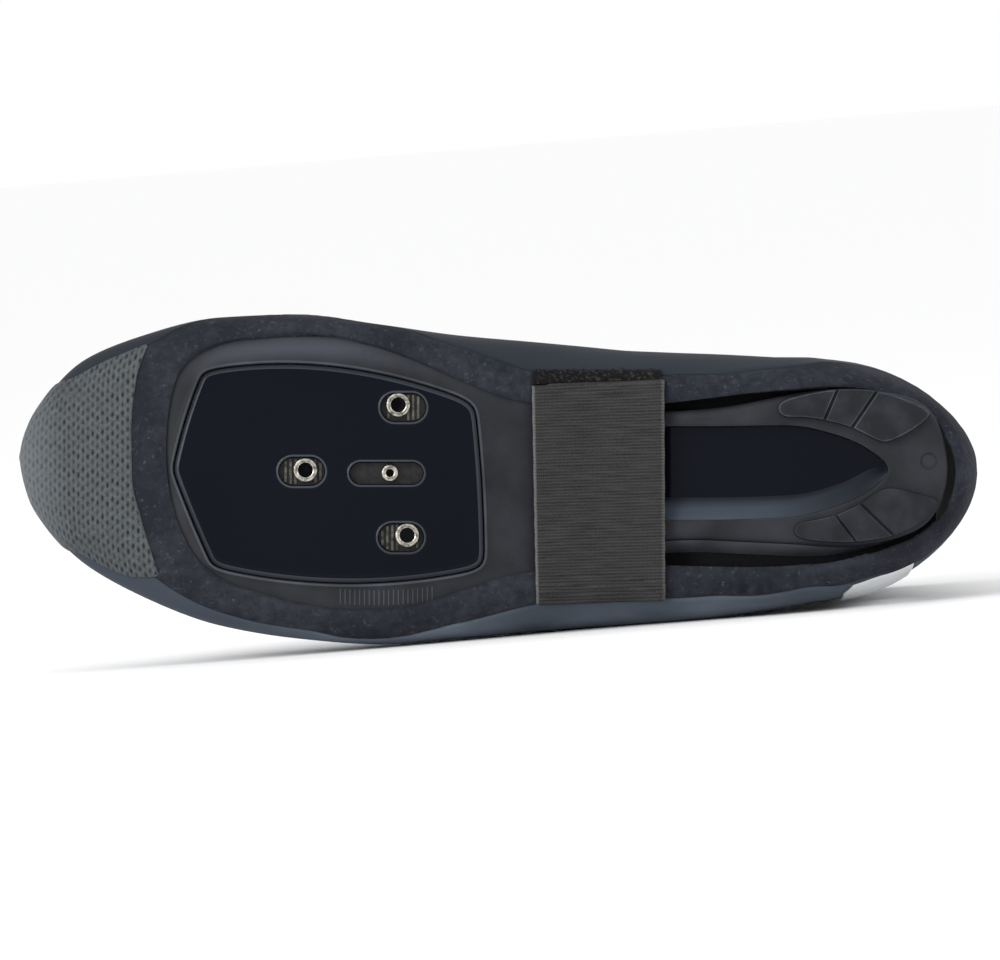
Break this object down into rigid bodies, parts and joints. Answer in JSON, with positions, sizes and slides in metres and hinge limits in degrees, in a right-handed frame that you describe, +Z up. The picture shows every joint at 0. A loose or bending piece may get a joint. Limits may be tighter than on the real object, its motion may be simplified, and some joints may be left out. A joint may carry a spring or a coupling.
{
  "type": "overshoe",
  "caption": "Right-foot cycling overshoe in coated neoprene, lying on its side, with the fitted road shoe's stiff sole in its underside opening and a woven strap across the arch.",
  "frame": {"origin": "centre of the footprint of the bounding box, on the floor that the shoe lies on", "axes": "+X from the toe towards the heel, +Y from the sole towards the ankle opening, +Z up from the lateral side that rests on the floor towards the medial side"},
  "size_m": [0.29, 0.168, 0.1034],
  "materials": {
    "coated_neoprene": "smooth matt coated neoprene, dark navy grey",
    "panel_fabric": "fine brushed matt fabric, charcoal",
    "toe_knit": "hard-wearing grey knit with staggered columns of small pits",
    "strap_webbing": "ribbed elastic webbing, matt dark grey",
    "hook_tape": "black hook tape with a frayed edge",
    "reflective_film": "silver retroreflective film",
    "sole_frame": "satin moulded nylon, dark grey",
    "sole_plate": "glossy near-black navy moulded plate",
    "heel_rubber": "matt moulded heel rubber, dark grey",
    "insole_felt": "dark felted insole board",
    "insert_steel": "bright turned steel"
  },
  "bodies": {
    "root": {"upper": "coated_neoprene", "underfoot_panel": "panel_fabric", "toe_patch": "toe_knit", "arch_strap": "strap_webbing", "hook_tape": "hook_tape", "heel_reflector": "reflective_film", "outsole_frame": "sole_frame", "sole_plate": "sole_plate", "heel_pad_medial": "heel_rubber", "heel_pad_lateral": "heel_rubber", "insole": "insole_felt", "insert_front": "insert_steel", "insert_rear_medial": "insert_steel", "insert_rear_lateral": "insert_steel", "insert_centre": "insert_steel"}
  },
  "joints": []
}
